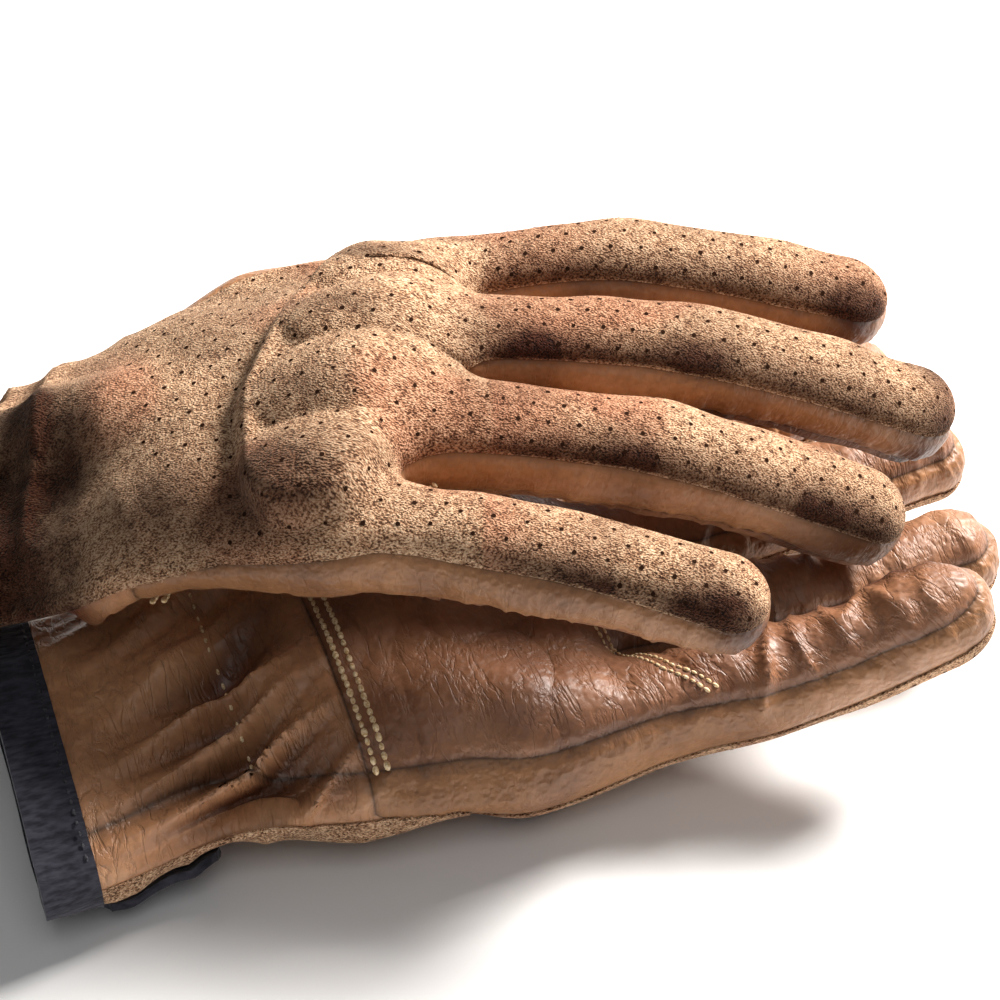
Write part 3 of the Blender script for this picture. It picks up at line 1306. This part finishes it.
for side in LASTS:
    y = np.linspace(-36.0, 34.0, 400)
    wide = np.linspace(-31.0, 31.0, 400)
    rows = [
        row_across(side, HEEL_LINE + 1.5, y, HEEL_STEP, 0.75),
        row_across(side, HEEL_LINE + 3.6, y, HEEL_STEP, 1.0),
    ]
    sewn("heel_stitches", side, THREADS, rows, THREAD_SIZES)
    y = np.linspace(-47.0 if side == "left" else -38.0, 36.0, 400)
    layer_edge = np.interp(y, LAYER_ACROSS, LAYER_EDGE)
    rows = [
        stitch_row(side, layer_edge - 1.2, y, LAYER_STEP, 1.0),
        stitch_row(side, layer_edge - 2.9, y, LAYER_STEP, 1.0),
        row_across(side, ELASTIC_LINE, wide * 0.85, SPARSE_STEP, 0.1),
    ]
    sewn("palm_stitches", side, THREADS, rows, SMALL_SIZES)
    rows = [row_across(side, BINDING_LINE - 1.4, wide * 1.1, SPARSE_STEP, 0.7)]
    sewn("tape_stitches", side, DARK_THREADS, rows, SMALL_SIZES)

# ---------------------------------------------------------------------------------------------
# Stage: a plain pale floor, one large soft lamp high behind on the right and weak light from
# all round, and the camera above the near side, looking down across both gloves.
floor_data = bpy.data.meshes.new("floor")
FLOOR = 4.0
FLOOR_HEIGHT = -0.0002
corners = [(-FLOOR, -FLOOR), (FLOOR, -FLOOR), (FLOOR, FLOOR), (-FLOOR, FLOOR)]
floor_data.from_pydata([(x, y, FLOOR_HEIGHT) for x, y in corners], [], [(0, 1, 2, 3)])
floor = in_scene("floor", floor_data)
PAPER, paper_tree = new_material("matt white paper")
surfaced(paper_tree, {"Base Color": linear("#fdfdfd"), "Roughness": 0.9})
floor_data.materials.append(PAPER)
floor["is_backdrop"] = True


LAMP_AIM = Vector((0.0, 0.0, 0.03))


def soft_lamp(name, place, size, power, colour):
    data = bpy.data.lights.new(name, "AREA")
    data.shape = "RECTANGLE"
    data.size, data.size_y = size
    data.energy = power
    data.color = linear(colour)[:3]
    lamp = in_scene(name, data)
    lamp.location = place
    aimed = (LAMP_AIM - Vector(place)).to_track_quat("-Z", "Y")
    lamp.rotation_euler = aimed.to_euler()


soft_lamp("key", (0.64, 0.52, 0.74), (0.45, 0.35), 40.0, "#fffaf5")
soft_lamp("front", (0.1, -0.5, 1.0), (0.6, 0.5), 1.5, "#ffffff")

world = bpy.data.worlds.new("studio")
world.use_nodes = True
sky = world.node_tree.nodes["Background"]
sky.inputs["Color"].default_value = (1.0, 1.0, 1.0, 1.0)
sky.inputs["Strength"].default_value = 0.15
bpy.context.scene.world = world
bpy.context.scene.view_settings.view_transform = "Standard"

camera_data = bpy.data.cameras.new("camera")
camera_data.lens = 77.3
camera_data.sensor_width = 36.0
camera = in_scene("camera", camera_data)
CAMERA_AIM = Vector((-0.0025, 0.0127, 0.035))
CAMERA_TILT = math.radians(41.1)
CAMERA_DISTANCE = 0.4165
backwards = Vector((0.0, -math.cos(CAMERA_TILT), math.sin(CAMERA_TILT)))
camera.location = CAMERA_AIM + backwards * CAMERA_DISTANCE
camera.rotation_euler = (CAMERA_AIM - camera.location).to_track_quat("-Z", "Y").to_euler()
bpy.context.scene.camera = camera

looks_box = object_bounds()
both = {"cad": cad_box, "looks": looks_box}
both = {name: [list(corner) for corner in box] for name, box in both.items()}
